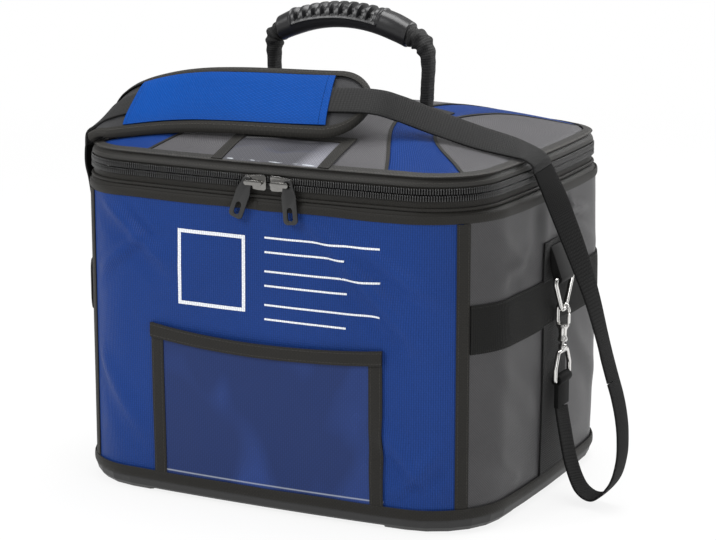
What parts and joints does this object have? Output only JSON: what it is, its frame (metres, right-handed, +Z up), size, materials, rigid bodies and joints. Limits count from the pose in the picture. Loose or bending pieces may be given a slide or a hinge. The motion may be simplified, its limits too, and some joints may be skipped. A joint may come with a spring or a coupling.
{
  "type": "specimen transport box",
  "caption": "Soft-sided insulated bag for carrying specimens: zipped domed lid, carry handle, clear pockets, moulded base tray and a padded shoulder strap on swivel hooks.",
  "frame": {"origin": "middle of the flat underside of the base tray, on the floor", "axes": "+Z up, +X to the right seen from the front, -Y towards the front (the side with the document pocket)"},
  "size_m": [0.4945, 0.3275, 0.4111],
  "materials": {
    "fabric_blue": "coated woven",
    "fabric_grey": "coated woven",
    "binding": "woven tape",
    "webbing": "ribbed webbing",
    "moulded_rubber": "satin",
    "moulded_tray": "satin",
    "foam": "closed cell",
    "board": "plain",
    "liner": "welded film",
    "clear_sheet": "soft clear sheet",
    "nickel_metal": "bright nickel"
  },
  "bodies": {
    "bag": {"base_tray": "moulded_tray", "base_binding": "binding", "base_board": "board", "foam_floor": "foam", "foam_front_back": "foam", "foam_sides": "foam", "inner_liner": "liner", "corner_bindings": "binding", "mouth_gusset": "fabric_grey", "mouth_binding": "binding", "mouth_piping": "binding", "zipper_tape_lower": "binding", "lid_hinge_strip": "fabric_grey", "document_pocket": "clear_sheet", "document_pocket_binding": "binding", "front_panel": "fabric_blue", "back_panel": "fabric_blue", "left_side_panel": "fabric_grey", "right_side_panel": "fabric_grey", "side_band_left": "webbing", "side_band_right": "webbing", "side_webbing_left": "webbing", "side_webbing_right": "webbing", "ring_hanger_left": "webbing", "ring_hanger_right": "webbing", "strap_fall_left": "webbing", "strap_fall_right": "webbing"},
    "lid": {"lid_centre_panel": "fabric_grey", "lid_stripe_left": "fabric_blue", "lid_stripe_right": "fabric_blue", "lid_end_left": "fabric_grey", "lid_end_right": "fabric_grey", "lid_foam": "foam", "lid_liner": "liner", "lid_edge_band": "binding", "zipper_tape_upper": "binding", "window_pocket": "clear_sheet", "window_binding": "binding", "handle_patches": "binding", "shoulder_pad_base": "binding", "shoulder_pad_cover": "fabric_blue", "strap_over_lid": "webbing"},
    "carry_handle": {"handle_webbing": "webbing", "handle_grip": "moulded_rubber"},
    "slider_left": {"zip_slider_left": "nickel_metal"},
    "pull_left": {"zip_pull_left": "moulded_tray"},
    "slider_right": {"zip_slider_right": "nickel_metal"},
    "pull_right": {"zip_pull_right": "moulded_tray"},
    "ring_body_right": {"ring_right": "nickel_metal"},
    "hook_body_right": {"snap_hook_right": "nickel_metal"},
    "gate_body_right": {"hook_gate_right": "nickel_metal"},
    "strap_end_right": {"strap_eye_right": "nickel_metal", "strap_tab_right": "webbing", "strap_loop_right": "webbing"},
    "ring_body_left": {"ring_left": "nickel_metal"},
    "hook_body_left": {"snap_hook_left": "nickel_metal"},
    "gate_body_left": {"hook_gate_left": "nickel_metal"},
    "strap_end_left": {"strap_eye_left": "nickel_metal", "strap_tab_left": "webbing", "strap_loop_left": "webbing"}
  },
  "joints": [
    {"name": "lid_hinge", "type": "hinge", "parent": "bag", "child": "lid", "pos_m": [0, 0.158, 0.281], "axis": [-1, 0, 0], "range_deg": [0, 105]},
    {"name": "handle_pivot", "type": "hinge", "parent": "lid", "child": "carry_handle", "pos_m": [0, 0, 0.3315], "axis": [-1, 0, 0], "range_deg": [-12, 70]},
    {"name": "zip_run_left", "type": "hinge", "parent": "bag", "child": "slider_left", "pos_m": [0, 2.10225, 0.2805], "axis": [0, 0, 1], "range_deg": [-2.95, 0]},
    {"name": "pull_swing_left", "type": "hinge", "parent": "slider_left", "child": "pull_left", "pos_m": [-0.0078, -0.164, 0.2805], "axis": [-0.0004, -1, 0], "range_deg": [-60, 60]},
    {"name": "zip_run_right", "type": "hinge", "parent": "bag", "child": "slider_right", "pos_m": [0, 2.10225, 0.2805], "axis": [0, 0, 1], "range_deg": [0, 2.4]},
    {"name": "pull_swing_right", "type": "hinge", "parent": "slider_right", "child": "pull_right", "pos_m": [0.0298, -0.16381, 0.2805], "axis": [0.0102, -0.9999, 0], "range_deg": [-60, 60]},
    {"name": "ring_hang_right", "type": "hinge", "parent": "bag", "child": "ring_body_right", "pos_m": [0.2046, 0, 0.19], "axis": [0, -1, 0], "range_deg": [0, 45]},
    {"name": "hook_on_ring_right", "type": "hinge", "parent": "ring_body_right", "child": "hook_body_right", "pos_m": [0.2046, 0, 0.162], "axis": [0, -1, 0], "range_deg": [0, 35]},
    {"name": "hook_gate_right", "type": "hinge", "parent": "hook_body_right", "child": "gate_body_right", "pos_m": [0.2096, 0, 0.1504], "axis": [0, -1, 0], "range_deg": [0, 25], "stiffness_Nm_per_rad": 0.02},
    {"name": "swivel_right", "type": "hinge", "parent": "hook_body_right", "child": "strap_end_right", "pos_m": [0.2046, 0, 0.134], "axis": [0, 0, 1], "range_deg": [-10, 10]},
    {"name": "ring_hang_left", "type": "hinge", "parent": "bag", "child": "ring_body_left", "pos_m": [-0.2046, 0, 0.19], "axis": [0, 1, 0], "range_deg": [0, 45]},
    {"name": "hook_on_ring_left", "type": "hinge", "parent": "ring_body_left", "child": "hook_body_left", "pos_m": [-0.2046, 0, 0.162], "axis": [0, 1, 0], "range_deg": [0, 35]},
    {"name": "hook_gate_left", "type": "hinge", "parent": "hook_body_left", "child": "gate_body_left", "pos_m": [-0.2096, 0, 0.1504], "axis": [0, 1, 0], "range_deg": [0, 25], "stiffness_Nm_per_rad": 0.02},
    {"name": "swivel_left", "type": "hinge", "parent": "hook_body_left", "child": "strap_end_left", "pos_m": [-0.2046, 0, 0.134], "axis": [0, 0, 1], "range_deg": [-10, 10]}
  ]
}
